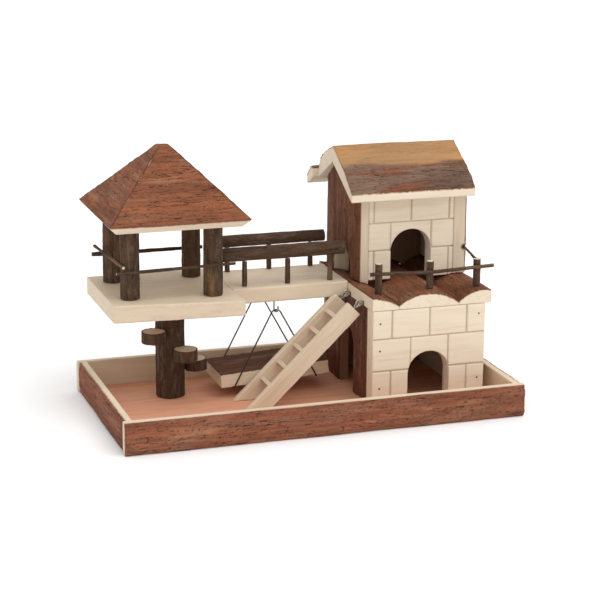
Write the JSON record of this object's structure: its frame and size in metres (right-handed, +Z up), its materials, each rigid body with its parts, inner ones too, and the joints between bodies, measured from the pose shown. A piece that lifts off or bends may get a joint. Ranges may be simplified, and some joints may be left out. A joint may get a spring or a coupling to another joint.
{
  "type": "wooden hamster house",
  "caption": "Wooden hamster play house in a tray: roofed tower, railed bridge, hinged ladder, board swing and two-storey bark-faced house.",
  "frame": {"origin": "centre of the tray's underside", "axes": "+X along the tray towards the house, +Y to the back, +Z up"},
  "size_m": [0.45, 0.251, 0.2922],
  "materials": {
    "pale_board": "sanded, unvarnished",
    "bark_board": "rough bark on pale wood",
    "branch": "natural bark",
    "steel_wire": "plain steel"
  },
  "bodies": {
    "house": {"balcony_post_left": "branch", "balcony_post_middle": "branch", "balcony_post_right": "branch", "balcony_rail_front": "branch", "balcony_rail_side": "branch", "balcony_slab_left": "bark_board", "balcony_slab_middle": "bark_board", "balcony_slab_right": "bark_board", "base_plate": "pale_board", "bridge_deck": "pale_board", "bridge_posts_back": "branch", "bridge_posts_front": "branch", "bridge_rail_back": "branch", "bridge_rail_front": "branch", "house_eyes": "steel_wire", "lower_back_wall": "bark_board", "lower_front_wall": "pale_board", "lower_left_wall": "bark_board", "lower_right_wall": "bark_board", "nails": "steel_wire", "roof_slab_back_lower": "bark_board", "roof_slab_back_upper": "bark_board", "roof_slab_front": "bark_board", "step_disc_lower": "branch", "step_disc_middle": "branch", "step_disc_upper": "branch", "swing_hooks": "steel_wire", "tower_platform": "pale_board", "tower_post_back_left": "branch", "tower_post_back_right": "branch", "tower_post_front_left": "branch", "tower_post_front_right": "branch", "tower_rail_back": "branch", "tower_rail_front": "branch", "tower_rail_left": "branch", "tower_roof_back": "bark_board", "tower_roof_front": "bark_board", "tower_roof_left": "bark_board", "tower_roof_right": "bark_board", "tower_trunk": "branch", "tray_back_board": "bark_board", "tray_front_board": "bark_board", "tray_left_board": "bark_board", "tray_right_board": "bark_board", "upper_back_wall": "bark_board", "upper_front_wall": "pale_board", "upper_left_wall": "bark_board", "upper_right_wall": "bark_board"},
    "swing": {"swing_board": "bark_board", "swing_wire_front": "steel_wire", "swing_wire_back": "steel_wire"},
    "ladder": {"ladder_rung_1": "pale_board", "ladder_rung_2": "pale_board", "ladder_rung_3": "pale_board", "ladder_rung_4": "pale_board", "ladder_rung_5": "pale_board", "ladder_stile_back": "pale_board", "ladder_stile_front": "pale_board", "ladder_eyes": "steel_wire"}
  },
  "joints": [
    {"name": "swing_hinge", "type": "hinge", "parent": "house", "child": "swing", "pos_m": [-0.0185, 0.053, 0.1027], "axis": [0, 1, 0], "range_deg": [-13, 4]},
    {"name": "ladder_hinge", "type": "hinge", "parent": "house", "child": "ladder", "pos_m": [0.0605, -0.011, 0.1195], "axis": [0, 1, 0], "range_deg": [0, 35]}
  ]
}
